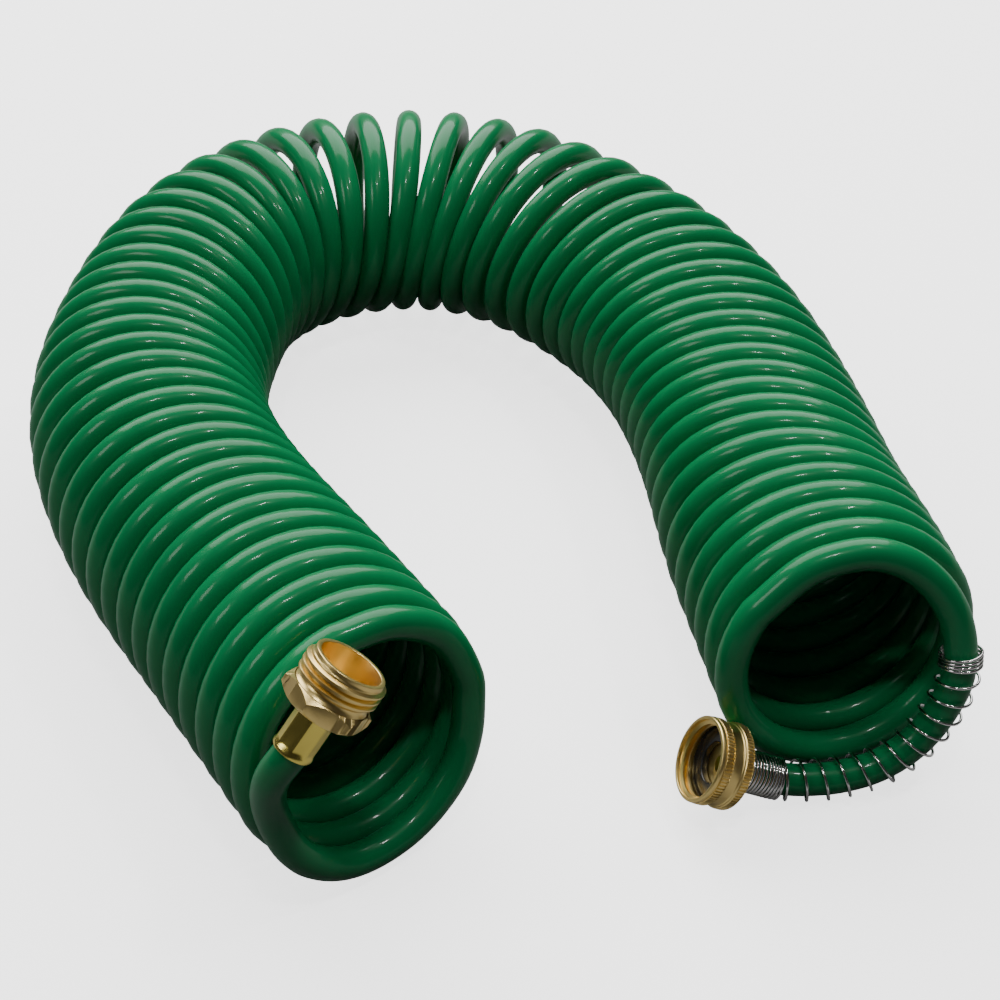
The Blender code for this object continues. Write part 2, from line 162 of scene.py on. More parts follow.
# Hexagon and neck of the male coupling
HEX_LENGTH = 0.0060
HEX_HALF_ANGLE = math.radians(30)
HEX_CONE = math.radians(40)
HEX_CONE_SHARE = 0.985
HEX_CONE_PAST_CORNER = 0.0005
HEX_EDGE = 0.00022
HEX_EDGE_ANGLE = math.radians(24)
HEX_CUTTER_BORE = 0.0001
SHAFT_IN_HEX = 0.001
SHOULDER_SHARE = 0.96
SHOULDER_LENGTH = 0.0005
NECK_LENGTH = 0.0025
NECK_RADIUS = 0.0116
NECK_FLARE_LENGTH = 0.0011
NECK_SLOPE_LENGTH = 0.0006

# Hose thread of both couplings, with the ridge's shares of half a pitch
THREAD_RADIUS = 0.01345
THREAD_DEPTH = 0.0012
THREAD_PITCH = 0.00221
THREAD_STEPS = 72
THREAD_SINK = 0.0003
THREAD_FOOT_SHARE = 0.86
THREAD_SIDE_SHARE = 0.80
THREAD_CREST_SHARE = 0.28
THREAD_RUN_OUT_SHARE = 0.22
THREAD_LEAST_HEIGHT = 0.02
MALE_THREAD_TURNS = 3
NUT_THREAD_TURNS = 2

# Rim and bore of the male coupling
MALE_THREAD_START = 0.0002
MALE_THREAD_TO_MOUTH = 0.0019
MALE_RIM_LENGTH = 0.0020
MALE_RIM_HEIGHT = 0.0014
MALE_RIM_RADIUS = 0.0119
MALE_BORE_RADIUS = 0.0104
MALE_BORE_DEPTH = 0.0105
WATERWAY_RADIUS = 0.0032

# Swivel nut, with the part of each knurl's step that is cut
NUT_RADIUS = 0.01525
NUT_LENGTH = 0.0130
NUT_BACK_WALL = 0.0022
NUT_BACK_BAND = 0.0034
NUT_BAND_EDGE = 0.0005
NUT_BAND_GAP = 0.0002
NUT_STEP_HEIGHT = 0.0004
NUT_STEP_START = 0.0003
NUT_STEP_END = 0.0008
NUT_STEP_FOOT = 0.0011
NUT_FRONT_SLOPE = 0.0006
NUT_KNURL_LENGTH = 0.0028
NUT_GROOVE_DEPTH = 0.0009
NUT_THREAD_CLEARANCE = 0.0003
NUT_THREAD_FROM_MOUTH = 0.0013
KNURL_DEPTH = 0.0005
KNURL_CUT = (0.4, 0.9)
KNURL_BACK_MARGIN = 0.0002
KNURL_FRONT_MARGINS = (0.0001, 0.0003)
NUT_LIP_RADIUS = 0.0151
NUT_LIP_LENGTH = 0.0019
NUT_LIP_SLOPE = (0.0004, 0.0003)
NUT_STEPS_PER_KNURL = 4
STEM_HOLE_RADIUS = 0.0068

# Rubber washer in the nut
WASHER_BOTTOM = 0.0045
WASHER_THICKNESS = 0.0026
WASHER_INNER_RADIUS = 0.0072
WASHER_OUTER_RADIUS = 0.01315

# Camera at the photograph's viewing angle
CAMERA_PLACE = (0.0131, -0.5926, 0.4731)
CAMERA_PITCH = math.radians(51.83)
CAMERA_LENS = 64.8
CAMERA_SENSOR = 36.0
CAMERA_NEAR = 0.01

# Places and sizes of the lights, and the point that they face
KEY_RIGHT = (0.70, -0.12, 1.55)
KEY_FRONT = (0.07, -0.55, 1.55)
KEY_SIZE = (0.18, 0.08)
SIDE_PANEL = (-1.1, -0.5, 1.1)
SIDE_PANEL_SIZE = (0.5, 0.35)
BACK_PANEL = (-0.2, 1.6, 1.8)
BACK_PANEL_SIZE = (3.6, 2.2)
LIGHTS_FACE = (0.0, 0.0, 0.05)

# The floor, and the share of light that it throws back to dull and to shiny surfaces
FLOOR_SIZE = 12.0
FLOOR_HEIGHT = -0.0003
FLOOR_BOUNCE = 0.10
FLOOR_MIRRORED = 0.40
FLOOR_GLOW = 2.2


# Settings that a user would change

class HoseSettings(bpy.types.PropertyGroup):
    green: FloatVectorProperty(
        name="Tube green", description="Colour of the plastic tube", subtype="COLOR",
        size=3, min=0.0, max=1.0, default=(0.0025, 0.230, 0.072))
    gloss: FloatProperty(
        name="Tube roughness", description="Roughness of the tube's skin",
        min=0.0, max=1.0, default=0.32)


class CouplingSettings(bpy.types.PropertyGroup):
    brass: FloatVectorProperty(
        name="Brass", description="Colour of the machined couplings", subtype="COLOR",
        size=3, min=0.0, max=1.0, default=(0.97, 0.73, 0.28))
    ferrule_brass: FloatVectorProperty(
        name="Ferrule brass", description="Colour of the pressed sleeve", subtype="COLOR",
        size=3, min=0.0, max=1.0, default=(0.90, 0.73, 0.17))
    hex_across_flats: FloatProperty(
        name="Hexagon", description="Hexagon's size across its flats", subtype="DISTANCE",
        min=0.018, max=0.030, default=0.0260)
    flutes: IntProperty(
        name="Flutes", description="Flats pressed into the ferrule", min=4, max=16, default=8)
    knurls: IntProperty(
        name="Knurls", description="Grooves round each gripping band", min=24, max=96,
        default=72)


class SpringSettings(bpy.types.PropertyGroup):
    wire: FloatProperty(
        name="Wire", description="Thickness of the spring's wire", subtype="DISTANCE",
        min=0.0006, max=0.0016, default=0.00105)
    mean_radius: FloatProperty(
        name="Mean radius", description="Radius at the middle of the wire", subtype="DISTANCE",
        min=0.0066, max=0.0078, default=0.0072)
    close_turns: IntProperty(
        name="Close turns", description="Turns that lie together behind the nut",
        min=4, max=16, default=13)
    open_turns: IntProperty(
        name="Open turns", description="Turns that stand apart", min=6, max=20, default=12)
    end_turns: IntProperty(
        name="End turns", description="Turns that lie together at the far end",
        min=2, max=8, default=4)
    close_pitch: FloatProperty(
        name="Close pitch", description="Step from turn to turn where they lie together",
        subtype="DISTANCE", min=0.0008, max=0.002, default=0.00135)
    length: FloatProperty(
        name="Spring length", description="Length along the tube", subtype="DISTANCE",
        min=0.08, max=0.16, default=0.108)


class StageSettings(bpy.types.PropertyGroup):
    floor: FloatVectorProperty(
        name="Floor", description="Colour of the floor", subtype="COLOR",
        size=3, min=0.0, max=1.0, default=(0.86, 0.86, 0.86))
    key_power: FloatProperty(
        name="Key lights", description="Power of each of the two small bright lights",
        unit="POWER", min=0.0, max=200.0, default=4.0)
    panel_power: FloatProperty(
        name="Side panel", description="Power of the soft panel beside the camera",
        unit="POWER", min=0.0, max=200.0, default=3.5)
    fill_power: FloatProperty(
        name="Back panel", description="Power of the large soft panel behind the hose",
        unit="POWER", min=0.0, max=400.0, default=120.0)
    surround: FloatProperty(
        name="Surround", description="Brightness of the surroundings",
        min=0.0, max=4.0, default=0.03)


# Route of the tube

def spline(points, values):
    """Natural cubic spline through evenly spaced points, read at the given values."""
    pts = np.asarray(points, float)
    if pts.ndim == 1:
        pts = pts[:, None]
    count = len(pts)
    system = np.eye(count)
    right = np.zeros_like(pts)
    for i in range(1, count - 1):
        system[i, i - 1:i + 2] = (1.0, 4.0, 1.0)
        right[i] = 6.0 * (pts[i - 1] - 2.0 * pts[i] + pts[i + 1])
    bend = np.linalg.solve(system, right)
    at = np.atleast_1d(np.asarray(values, float))
    i = np.clip(np.floor(at).astype(int), 0, count - 2)
    b = (at - i)[:, None]
    a = 1.0 - b
    return (a * pts[i] + b * pts[i + 1]
            + ((a ** 3 - a) * bend[i] + (b ** 3 - b) * bend[i + 1]) / 6.0)


def helix_point(turn):
    """Centre of the tube where it is wound, for a turn count from the male end."""
    along = (turn - ROUTE_START_TURN) / TURNS_PER_ROUTE_POINT
    before, centre, after = spline(
        COIL_ROUTE, (along - ROUTE_HEADING_STEP, along, along + ROUTE_HEADING_STEP))
    heading = math.atan2(after[1] - before[1], after[0] - before[0])
    last = len(COIL_ROUTE) - 1
    shape_at = min(max(along / last, 0.0), 1.0) * (len(TURN_LEAN) - 1)
    facing = heading + math.radians(spline(TURN_LEAN, shape_at)[0, 0])
    tilt = math.radians(spline(TURN_TILT, shape_at)[0, 0])
    normal = Vector((math.cos(facing) * math.cos(tilt), math.sin(facing) * math.cos(tilt),
                     math.sin(tilt)))
    side = Vector((math.sin(facing), -math.cos(facing), 0.0))
    up = side.cross(normal)
    middle = Vector((centre[0], centre[1], COIL_RADIUS * up.z))
    phase = START_PHASE - 2.0 * math.pi * turn
    radius = COIL_RADIUS - HOSE_DIAMETER / 2
    return middle + (up * math.cos(phase) + side * math.sin(phase)) * radius


def lengths_along(points):
    """Length from the first point to each of the points."""
    lengths = [0.0]
    for a, b in zip(points, points[1:]):
        lengths.append(lengths[-1] + (b - a).length)
    return lengths


def smooth_path(points, spacing):
    """Points at an even spacing along a smooth curve through the given ones."""
    knots = [Vector(p) for p in points]
    fine = []
    for i in range(len(knots) - 1):
        p0 = knots[i - 1] if i > 0 else knots[i] * 2 - knots[i + 1]
        p1, p2 = knots[i], knots[i + 1]
        p3 = knots[i + 2] if i + 2 < len(knots) else knots[i + 1] * 2 - knots[i]
        for step in range(CURVE_STEPS):
            t = step / CURVE_STEPS
            fine.append(0.5 * (2 * p1 + (p2 - p0) * t + (2 * p0 - 5 * p1 + 4 * p2 - p3) * t * t
                               + (3 * p1 - p0 - 3 * p2 + p3) * t ** 3))
    fine.append(knots[-1])
    lengths = lengths_along(fine)
    count = max(2, round(lengths[-1] / spacing))
    even = []
    at = 0
    for n in range(count + 1):
        want = lengths[-1] * n / count
        while at < len(fine) - 2 and lengths[at + 1] < want:
            at += 1
        share = (want - lengths[at]) / (lengths[at + 1] - lengths[at])
        even.append(fine[at].lerp(fine[at + 1], share))
    return even


def axis_frame(origin, axis):
    """Matrix that puts local +Z on the axis, with local X level."""
    z = Vector(axis).normalized()
    x = Vector((-z.y, z.x, 0.0)).normalized()
    y = z.cross(x)
    return Matrix.Translation(Vector(origin)) @ Matrix((x, y, z)).transposed().to_4x4()


def male_end_path(spacing):
    """From the wound turns to inside the ferrule."""
    place = axis_frame(MALE_ORIGIN, MALE_AXIS)
    wound = []
    turn = FIRST_WOUND_TURN
    while turn > MALE_HELIX_END_TURN:
        wound.append(helix_point(turn))
        turn -= FREE_TURN_STEP
    entry = [place @ Vector((0, 0, 0)), place @ Vector((0, 0, HOSE_IN_FERRULE))]
    return smooth_path(wound + list(MALE_END_ROUTE) + entry, spacing)


def female_end_path(spacing):
    """From the wound turns to the swivel nut's stem."""
    place = axis_frame(NUT_ORIGIN, NUT_AXIS)
    wound = []
    turn = LAST_WOUND_TURN
    while turn < FEMALE_HELIX_END_TURN:
        wound.append(helix_point(turn))
        turn += FREE_TURN_STEP
    back = -STEM_BEHIND_NUT - FACE_GAP
    entry = [place @ Vector((0, 0, back - length)) for length in STRAIGHT_BEHIND_NUT]
    entry.append(place @ Vector((0, 0, back)))
    return smooth_path(wound + list(FEMALE_END_ROUTE) + entry, spacing)


def whole_path():
    """The whole tube's centre line, from the ferrule to the swivel nut."""
    turns = LAST_WOUND_TURN - FIRST_WOUND_TURN
    count = round(turns * TUBE_STEPS_PER_TURN)
    wound = [helix_point(FIRST_WOUND_TURN + turns * n / count) for n in range(1, count)]
    return (male_end_path(TUBE_STEP_AT_ENDS)[::-1] + wound
            + female_end_path(TUBE_STEP_AT_ENDS))


# Materials

def new_material(name):
    """Material with a bare Principled shader, its nodes and links."""
    made = bpy.data.materials.new(name)
    made.use_nodes = True
    tree = made.node_tree
    return made, tree, tree.nodes["Principled BSDF"]


def add_node(tree, kind, place, **values):
    """Node at its place in the tree, with its settings."""
    node = tree.nodes.new(kind)
    node.location = place
    for name, value in values.items():
        setattr(node, name, value)
    return node


def surface_wear_group():
    """Shared node group: fine unevenness as a mask, a roughness and a height."""
    name = "surface_wear"
    if name in bpy.data.node_groups:
        return bpy.data.node_groups[name]
    group = bpy.data.node_groups.new(name, "ShaderNodeTree")
    sockets = group.interface
    for label, default in (("Scale", 300.0), ("Roughness", 0.2), ("Spread", 0.08)):
        made = sockets.new_socket(label, in_out="INPUT", socket_type="NodeSocketFloat")
        made.default_value = default
    for label in ("Mask", "Roughness", "Height"):
        sockets.new_socket(label, in_out="OUTPUT", socket_type="NodeSocketFloat")
    start = add_node(group, "NodeGroupInput", (-700, 0))
    end = add_node(group, "NodeGroupOutput", (500, 0))
    place = add_node(group, "ShaderNodeTexCoord", (-700, -200))
    broad = add_node(group, "ShaderNodeTexNoise", (-400, 100))
    broad.inputs["Scale"].default_value = 45.0
    broad.inputs["Detail"].default_value = 3.0
    fine = add_node(group, "ShaderNodeTexNoise", (-400, -200))
    fine.inputs["Detail"].default_value = 4.0
    centred = add_node(group, "ShaderNodeMath", (-150, 150), operation="SUBTRACT")
    centred.inputs[1].default_value = 0.5
    spread = add_node(group, "ShaderNodeMath", (50, 150), operation="MULTIPLY")
    rough = add_node(group, "ShaderNodeMath", (250, 100), operation="ADD")
    link = group.links.new
    link(place.outputs["Object"], broad.inputs["Vector"])
    link(place.outputs["Object"], fine.inputs["Vector"])
    link(start.outputs["Scale"], fine.inputs["Scale"])
    link(broad.outputs["Fac"], centred.inputs[0])
    link(centred.outputs[0], spread.inputs[0])
    link(start.outputs["Spread"], spread.inputs[1])
    link(spread.outputs[0], rough.inputs[0])
    link(start.outputs["Roughness"], rough.inputs[1])
    link(broad.outputs["Fac"], end.inputs["Mask"])
    link(rough.outputs[0], end.inputs["Roughness"])
    link(fine.outputs["Fac"], end.inputs["Height"])
    return group


def wear_material(name, color, dark, roughness, spread, scale, bump, metallic=0.0):
    """Material whose colour, roughness and relief vary slightly over the surface."""
    made, tree, shader = new_material(name)
    wear = add_node(tree, "ShaderNodeGroup", (-700, 0))
    wear.node_tree = surface_wear_group()
    wear.inputs["Scale"].default_value = scale
    wear.inputs["Roughness"].default_value = roughness
    wear.inputs["Spread"].default_value = spread
    ramp = add_node(tree, "ShaderNodeValToRGB", (-450, 150))
    ramp.color_ramp.elements[0].position = 0.3
    ramp.color_ramp.elements[0].color = (*dark, 1.0)
    ramp.color_ramp.elements[1].position = 0.7
    ramp.color_ramp.elements[1].color = (*color, 1.0)
    relief = add_node(tree, "ShaderNodeBump", (-250, -250))
    relief.inputs["Strength"].default_value = bump
    relief.inputs["Distance"].default_value = 0.0002
    tree.links.new(wear.outputs["Mask"], ramp.inputs["Fac"])
    tree.links.new(ramp.outputs["Color"], shader.inputs["Base Color"])
    tree.links.new(wear.outputs["Roughness"], shader.inputs["Roughness"])
    tree.links.new(wear.outputs["Height"], relief.inputs["Height"])
    tree.links.new(relief.outputs["Normal"], shader.inputs["Normal"])
    shader.inputs["Metallic"].default_value = metallic
    return made


def scaled(color, share):
    """Colour made darker to a share of itself."""
    return tuple(c * share for c in color)


def hose_green():
    """Smooth green plastic with a thin clear shine."""
    settings = bpy.context.scene.garden_hose
    made = wear_material("glossy_green_plastic", tuple(settings.green),
                         scaled(settings.green, 0.88), roughness=settings.gloss,
                         spread=0.06, scale=900.0, bump=0.03)
    shader = made.node_tree.nodes["Principled BSDF"]
    shader.inputs["Specular IOR Level"].default_value = 0.15
    shader.inputs["Coat Weight"].default_value = 0.26
    shader.inputs["Coat Roughness"].default_value = 0.08
    return made


def machined_brass():
    """Satin brass of the couplings, made once and shared by them."""
    if "machined_brass" in bpy.data.materials:
        return bpy.data.materials["machined_brass"]
    settings = bpy.context.scene.hose_couplings
    return wear_material("machined_brass", tuple(settings.brass),
                         scaled(settings.brass, 0.9), roughness=0.34, spread=0.1,
                         scale=1800.0, bump=0.12, metallic=1.0)


def pressed_brass():
    """Bright yellow brass of the ferrule."""
    settings = bpy.context.scene.hose_couplings
    return wear_material("pressed_brass", tuple(settings.ferrule_brass),
                         scaled(settings.ferrule_brass, 0.92), roughness=0.25, spread=0.08,
                         scale=1500.0, bump=0.08, metallic=1.0)


def spring_steel():
    """Bright plated steel wire."""
    return wear_material("plated_spring_steel", (0.80, 0.79, 0.77), (0.66, 0.65, 0.64),
                         roughness=0.15, spread=0.1, scale=1500.0, bump=0.1, metallic=1.0)


def washer_black():
    """Black rubber with a slight shine."""
    return wear_material("black_rubber", (0.016, 0.016, 0.017), (0.010, 0.010, 0.011),
                         roughness=0.26, spread=0.1, scale=1200.0, bump=0.12)


# Modelling helpers

def deselect():
    """Leaves edit mode and deselects everything."""
    if bpy.context.object and bpy.context.object.mode != "OBJECT":
        bpy.ops.object.mode_set(mode="OBJECT")
    bpy.ops.object.select_all(action="DESELECT")


def only(piece):
    """Makes the piece the only one selected, and the active one."""
    deselect()
    piece.select_set(True)
    bpy.context.view_layer.objects.active = piece


def rename(name):
    """Names the active object and its mesh."""
    piece = bpy.context.object
    piece.name = name
    piece.data.name = name
    return piece


def apply_modifier(piece, kind, **values):
    """Adds a modifier with its settings and applies it."""
    only(piece)
    made = piece.modifiers.new(kind.lower(), kind)
    for key, value in values.items():
        setattr(made, key, value)
    bpy.ops.object.modifier_apply(modifier=made.name)


def draw_outline(name, outline, lift=0.0):
    """Outline of (radius, height), extruded from one vertex, and left in edit mode."""
    deselect()
    bpy.ops.mesh.primitive_plane_add(size=SEED_SIZE)
    piece = rename(name)
    bpy.ops.object.mode_set(mode="EDIT")
    bpy.ops.mesh.select_all(action="SELECT")
    bpy.ops.mesh.merge(type="CENTER")
    bpy.ops.transform.translate(value=(outline[0][0], 0.0, lift + outline[0][1]))
    for (r0, z0), (r1, z1) in zip(outline, outline[1:]):
        bpy.ops.mesh.extrude_region_move(
            TRANSFORM_OT_translate={"value": (r1 - r0, 0.0, z1 - z0)})
    return piece


def close_shell(threshold):
    """Merges doubles, turns the faces outwards and leaves edit mode."""
    bpy.ops.mesh.select_all(action="SELECT")
    bpy.ops.mesh.remove_doubles(threshold=threshold)
    bpy.ops.mesh.normals_make_consistent(inside=False)
    bpy.ops.object.mode_set(mode="OBJECT")


def turned(name, profile, steps):
    """Closed profile of (radius, height), spun about local Z."""
    piece = draw_outline(name, profile)
    bpy.ops.mesh.select_all(action="SELECT")
    work = bmesh.from_edit_mesh(piece.data)
    for vert in work.verts:
        vert.select_set(len(vert.link_edges) == 1)
    work.select_flush(True)
    bpy.ops.mesh.edge_face_add()
    bpy.ops.mesh.select_all(action="SELECT")
    bpy.ops.mesh.spin(steps=steps, angle=2.0 * math.pi, center=(0.0, 0.0, 0.0),
                      axis=(0.0, 0.0, 1.0))
    close_shell(SPUN_MERGE)
    return piece


def set_radius(vert, radius, wanted):
    """Moves a vertex from one distance from local Z to another."""
    vert.co.x *= wanted / radius
    vert.co.y *= wanted / radius


def thread_ridge(root, crest, start, turns, inward=False):
    """Helical ridge with a flat crest that runs out at both ends, about local Z."""
    half = THREAD_PITCH / 2
    buried = root + THREAD_SINK if inward else root - THREAD_SINK
    foot = THREAD_FOOT_SHARE * half
    side = THREAD_SIDE_SHARE * half
    top = THREAD_CREST_SHARE * half
    ridge = draw_outline("ridge", ((buried, -foot), (root, -side), (crest, -top),
                                   (crest, top), (root, side), (buried, foot)), lift=start)
    bpy.ops.mesh.select_all(action="SELECT")
    bpy.ops.mesh.edge_face_add()
    bpy.ops.object.mode_set(mode="OBJECT")
    apply_modifier(ridge, "SCREW", angle=2.0 * math.pi, screw_offset=THREAD_PITCH,
                   iterations=turns, steps=THREAD_STEPS, render_steps=THREAD_STEPS, axis="Z",
                   use_merge_vertices=True, use_normal_calculate=True)
    run_out(ridge, root, start, turns * THREAD_PITCH)
    only(ridge)
    bpy.ops.object.mode_set(mode="EDIT")
    close_shell(RIDGE_MERGE)
    return ridge


def run_out(ridge, root, start, rise):
    """Sinks the ridge into its wall over the last part of a turn at both ends."""
    fade = THREAD_RUN_OUT_SHARE * THREAD_PITCH
    for vert in ridge.data.vertices:
        radius = math.hypot(vert.co.x, vert.co.y)
        angle = math.atan2(vert.co.y, vert.co.x) % (2.0 * math.pi)
        turn = round((vert.co.z - start) / THREAD_PITCH - angle / (2.0 * math.pi))
        along = (turn + angle / (2.0 * math.pi)) * THREAD_PITCH
        left = min(along, rise - along)
        share = min(1.0, max(THREAD_LEAST_HEIGHT, left / fade))
        set_radius(vert, radius, root + (radius - root) * math.sin(share * math.pi / 2))


def join(name, pieces):
    """One piece made of several."""
    deselect()
    for piece in pieces:
        piece.select_set(True)
    bpy.context.view_layer.objects.active = pieces[0]
    bpy.ops.object.join()
    return rename(name)


def finish_piece(piece, place, finish, body, nodes, angle=COUPLING_SMOOTH_ANGLE):
    only(piece)
    piece.matrix_world = place
    bpy.ops.object.transform_apply(location=True, rotation=True, scale=True)
    bpy.ops.object.shade_smooth_by_angle(angle=math.radians(angle))
    piece.data.materials.clear()
    piece.data.materials.append(finish)
    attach(piece, body)
    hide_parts(*nodes)


def cord_curve(name, points, thickness, resolution):
    """Curve object along the points, with a round section."""
    curve = bpy.data.curves.new(name, "CURVE")
    curve.dimensions = "3D"
    curve.bevel_depth = thickness / 2
    curve.bevel_resolution = resolution
    curve.use_fill_caps = True
    line = curve.splines.new("POLY")
    line.points.add(len(points) - 1)
    line.points.foreach_set("co", [c for p in points for c in (*p, 1.0)])
    line.use_smooth = True
    cord = bpy.data.objects.new(name, curve)
    bpy.context.scene.collection.objects.link(cord)
    return cord


def rounded(corner_before, corner, corner_after, size):
    """Points of a small round in place of a sharp corner of a profile."""
    a, b, c = Vector(corner_before), Vector(corner), Vector(corner_after)
    start = b + (a - b).normalized() * size
    end = b + (c - b).normalized() * size
    points = []
    for n in range(ROUND_STEPS + 1):
        t = n / ROUND_STEPS
        points.append(tuple(start * (1 - t) ** 2 + b * 2 * t * (1 - t) + end * t * t))
    return points


def soften(corners):
    """Closed profile from corners of (radius, height, round)."""
    places = [corner[:2] for corner in corners]
    profile = []
    for n, (place, corner) in enumerate(zip(places, corners)):
        if corner[2] == SHARP:
            profile.append(place)
        else:
            profile += rounded(places[n - 1], place, places[(n + 1) % len(places)], corner[2])
    return profile


# One operator for each piece and for the stage

class GARDENHOSE_OT_stage(bpy.types.Operator):
    """Make the camera, the floor and the soft studio lights"""
    bl_idname = "gardenhose.stage"
    bl_label = "Stage"

    def execute(self, context):
        settings = context.scene.hose_stage
        deselect()
        bpy.ops.object.camera_add(location=CAMERA_PLACE, rotation=(CAMERA_PITCH, 0.0, 0.0))
        camera = context.object
        camera.name = "photo_camera"
        camera.data.lens = CAMERA_LENS
        camera.data.sensor_width = CAMERA_SENSOR
        camera.data.clip_start = CAMERA_NEAR
        context.scene.camera = camera
        bpy.ops.mesh.primitive_plane_add(size=FLOOR_SIZE, location=(0.0, 0.0, FLOOR_HEIGHT))
        floor = rename("floor")
        floor.data.materials.append(self.pale_floor(settings.floor))
        self.add_light("key_right", KEY_RIGHT, KEY_SIZE, settings.key_power)
        self.add_light("key_front", KEY_FRONT, KEY_SIZE, settings.key_power)
        self.add_light("side_panel", SIDE_PANEL, SIDE_PANEL_SIZE, settings.panel_power)
        self.add_light("back_panel", BACK_PANEL, BACK_PANEL_SIZE, settings.fill_power)
        world = bpy.data.worlds.new("studio_room")
        world.use_nodes = True
        back = world.node_tree.nodes["Background"]
        back.inputs["Color"].default_value = (1.0, 1.0, 1.0, 1.0)
        back.inputs["Strength"].default_value = settings.surround
        context.scene.world = world
        return {"FINISHED"}

    def pale_floor(self, color):
        """Floor that the camera sees pale, and that throws back less light on the object."""
        pale, tree, shader = new_material("pale_floor")
        shader.inputs["Base Color"].default_value = (*color, 1.0)
        shader.inputs["Roughness"].default_value = 0.9
        shader.inputs["Specular IOR Level"].default_value = 0.1
        dim = add_node(tree, "ShaderNodeBsdfDiffuse", (-200, -300))
        dim.inputs["Color"].default_value = (*scaled(color, FLOOR_BOUNCE), 1.0)
        mirrored = add_node(tree, "ShaderNodeBsdfDiffuse", (-200, -150))
        mirrored.inputs["Color"].default_value = (*scaled(color, FLOOR_MIRRORED), 1.0)
        ray = add_node(tree, "ShaderNodeLightPath", (-200, 300))
        glow = add_node(tree, "ShaderNodeEmission", (-200, 150))
        glow.inputs["Strength"].default_value = FLOOR_GLOW
        bounce = add_node(tree, "ShaderNodeMixShader", (50, -150))
        seen = add_node(tree, "ShaderNodeAddShader", (50, 100))
        mix = add_node(tree, "ShaderNodeMixShader", (250, 0))
        end = tree.nodes["Material Output"]
        end.location = (450, 0)
        tree.links.new(ray.outputs["Is Camera Ray"], mix.inputs["Fac"])
        tree.links.new(ray.outputs["Is Glossy Ray"], bounce.inputs["Fac"])
        tree.links.new(dim.outputs["BSDF"], bounce.inputs[1])
        tree.links.new(mirrored.outputs["BSDF"], bounce.inputs[2])
        tree.links.new(bounce.outputs["Shader"], mix.inputs[1])
        tree.links.new(shader.outputs["BSDF"], seen.inputs[0])
        tree.links.new(glow.outputs["Emission"], seen.inputs[1])
        tree.links.new(seen.outputs["Shader"], mix.inputs[2])
        tree.links.new(mix.outputs["Shader"], end.inputs["Surface"])
        return pale

    def add_light(self, name, place, size, power):
        """Soft rectangular light that faces the hose."""
        toward = Vector(LIGHTS_FACE) - Vector(place)
        bpy.ops.object.light_add(type="AREA", location=place)
        light = bpy.context.object
        light.name = name
        light.rotation_mode = "QUATERNION"
        light.rotation_quaternion = toward.to_track_quat("-Z", "Y")
        light.data.shape = "RECTANGLE"
        light.data.size = size[0]
        light.data.size_y = size[1]
        light.data.energy = power


class GARDENHOSE_OT_tube(bpy.types.Operator):
    """Wind the green tube and run out its two loose ends"""
    bl_idname = "gardenhose.tube"
    bl_label = "Tube"

    def execute(self, context):
        tube = cord_curve("hose_tube", whole_path(), HOSE_DIAMETER, TUBE_BEVEL_RESOLUTION)
        tube.data.materials.append(hose_green())
        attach(tube, HOSE_BODY)
        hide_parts("hose_coil", "hose_end_male", "hose_end_female")
        return {"FINISHED"}


class GARDENHOSE_OT_ferrule(bpy.types.Operator):
    """Make the fluted brass sleeve pressed on the tube's male end"""
    bl_idname = "gardenhose.ferrule"
    bl_label = "Ferrule"

    def execute(self, context):
        flutes = context.scene.hose_couplings.flutes
        flare = FERRULE_RADIUS + FERRULE_FLARE
        top = FERRULE_LENGTH
        low = FERRULE_FLARE_LENGTH
        high = top - FERRULE_COLLAR_LENGTH
        profile = soften([
            (FERRULE_BORE, 0.0, SMALL_ROUND),
            (flare, 0.0, EDGE_ROUND),
            (flare, low * FERRULE_RIM_SHARE, COLLAR_ROUND),
            (FERRULE_RADIUS, low, EDGE_ROUND),
            (FERRULE_RADIUS, low + FERRULE_RING, SHARP),
            (FERRULE_RADIUS, top * 0.5, SHARP),
            (FERRULE_RADIUS, high - FERRULE_RING, SHARP),
            (FERRULE_RADIUS, high, EDGE_ROUND),
            (flare, high + FERRULE_COLLAR_SLOPE, SMALL_ROUND),
            (flare, top, COLLAR_ROUND),
            (FERRULE_BORE, top, FINE_ROUND)])
        sleeve = turned("male_sleeve", profile, flutes * FERRULE_STEPS_PER_FLUTE)
        self.press_flats(sleeve, 2.0 * math.pi / flutes, low, high)
        finish_piece(sleeve, axis_frame(MALE_ORIGIN, MALE_AXIS), pressed_brass(),
                     HOSE_BODY, ["male_ferrule"])
        return {"FINISHED"}

    def press_flats(self, sleeve, sector, low, high):
        """Presses flats round the sleeve, full between its flares and slight on them."""
        flat = FERRULE_RADIUS * FERRULE_FLAT_SHARE
        least = FERRULE_PRESS_ON_FLARES
        for vert in sleeve.data.vertices:
            radius = math.hypot(vert.co.x, vert.co.y)
            if radius < FERRULE_BORE + FERRULE_WALL:
                continue
            angle = math.atan2(vert.co.y, vert.co.x) % sector - sector / 2
            inside = min(vert.co.z - low, high - vert.co.z) / FERRULE_PRESS_FADE
            share = least + (1.0 - least) * min(1.0, max(0.0, inside))
            wall = flat / math.cos(angle)
            pressed = min(0.0, wall - FERRULE_RADIUS) * share
            set_radius(vert, radius, radius + pressed)


